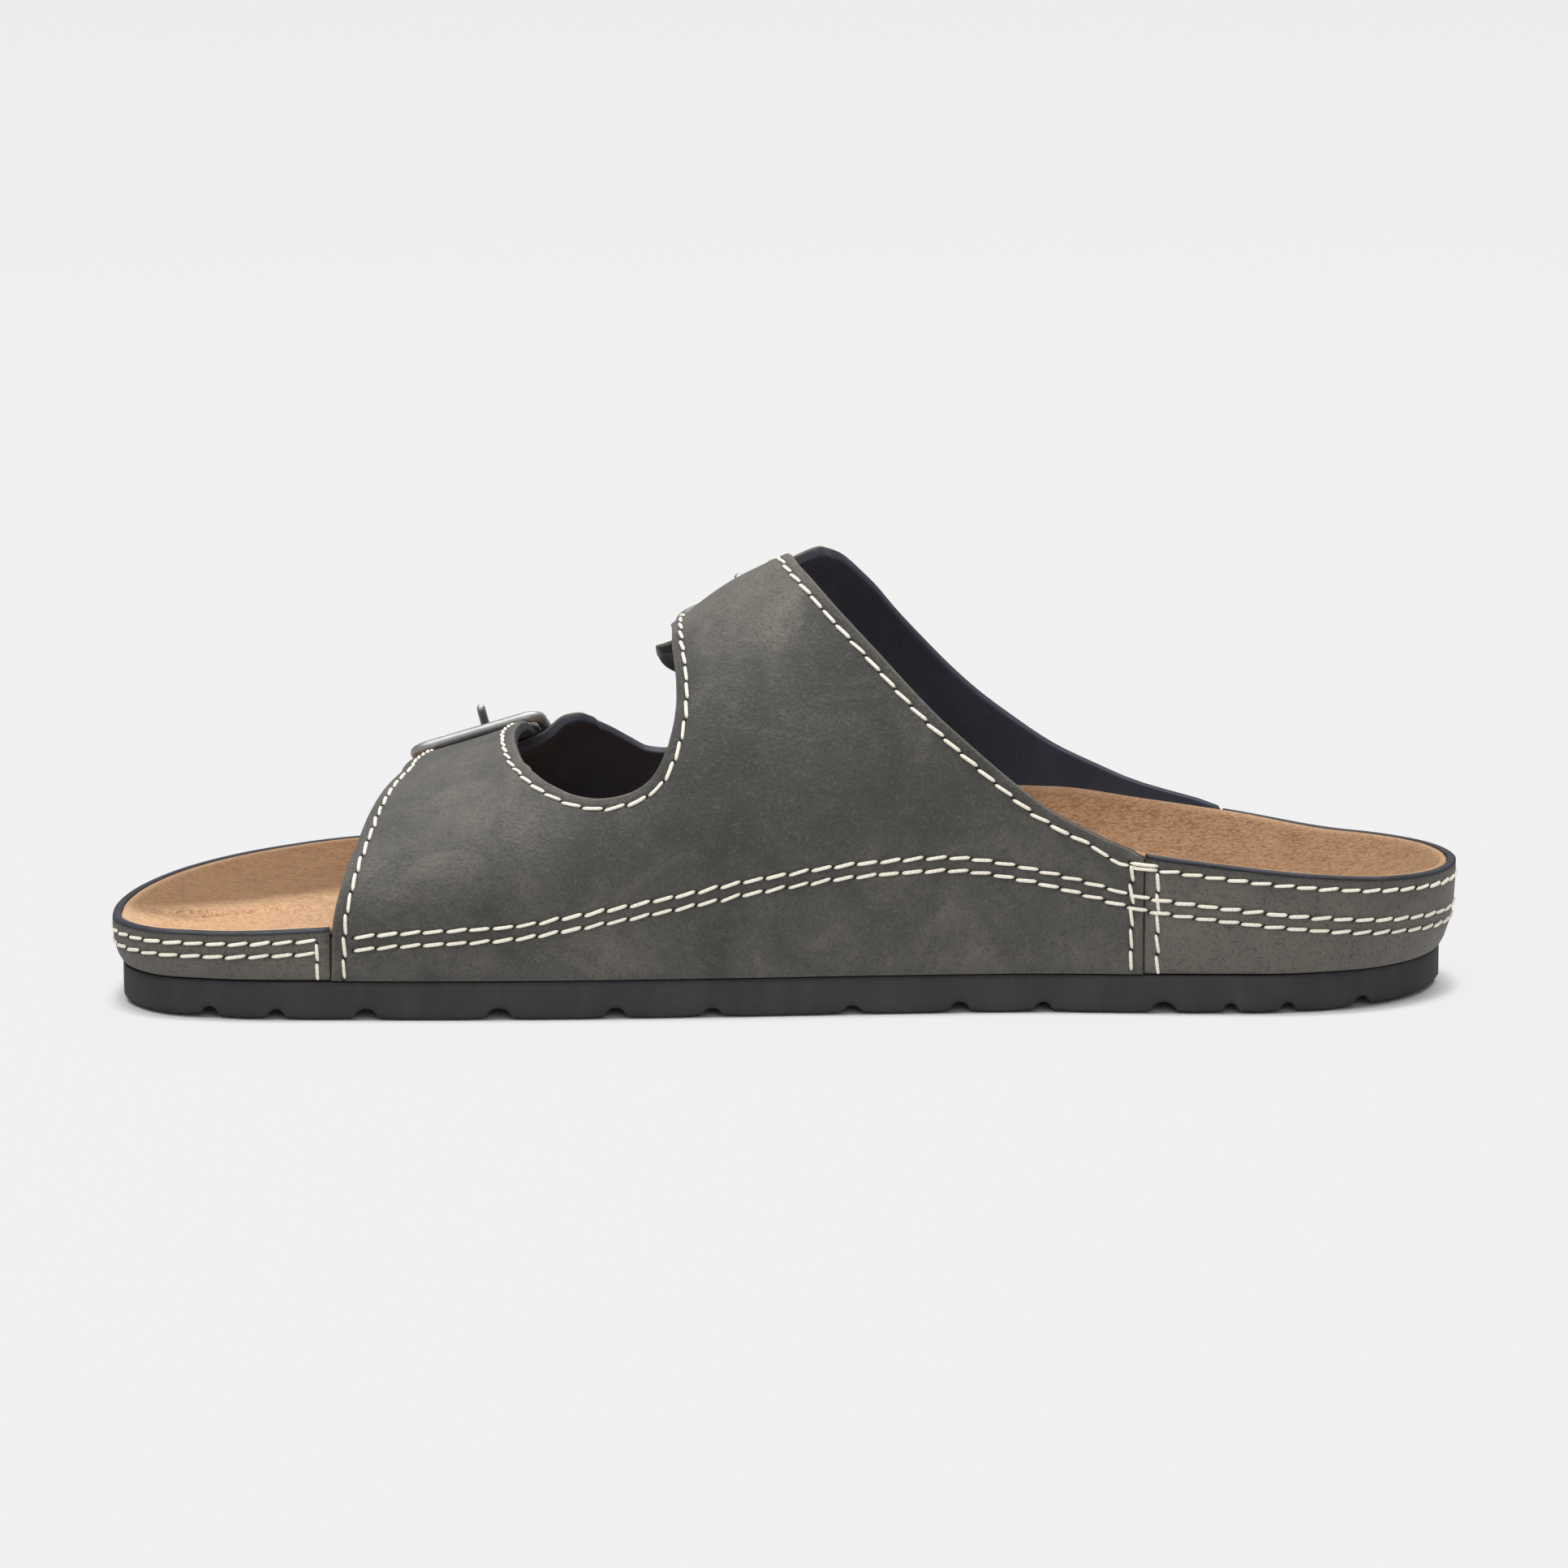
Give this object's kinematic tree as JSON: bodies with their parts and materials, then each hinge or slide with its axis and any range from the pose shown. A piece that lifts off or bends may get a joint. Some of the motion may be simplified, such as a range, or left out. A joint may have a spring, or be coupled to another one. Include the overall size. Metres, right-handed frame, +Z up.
{
  "type": "two-strap footbed sandal",
  "caption": "Right-foot sandal with a dished cork footbed under suede, a grooved rubber outsole and a leather upper of wide straps held by pin buckles.",
  "frame": {"origin": "on the floor, at the middle of the shoe's length and width", "axes": "+Z up from the floor, +X from toe to heel, +Y towards the outer side of the foot"},
  "size_m": [0.2807, 0.1089, 0.0914],
  "materials": {
    "leather": "oiled nubuck",
    "suede": "napped suede",
    "cork": "pressed cork, bare",
    "rubber": "matt moulded",
    "gunmetal": "dark gunmetal plating"
  },
  "bodies": {
    "root": {"outsole": "rubber", "footbed_cork": "cork", "footbed_liner": "suede", "toe_band": "leather", "heel_band": "leather", "upper_medial": "leather", "upper_lateral": "leather", "buckle_loop_front": "leather", "buckle_loop_rear": "leather", "buckle_frame_front": "gunmetal", "buckle_frame_rear": "gunmetal", "buckle_prong_front": "gunmetal", "buckle_prong_rear": "gunmetal"}
  },
  "joints": []
}
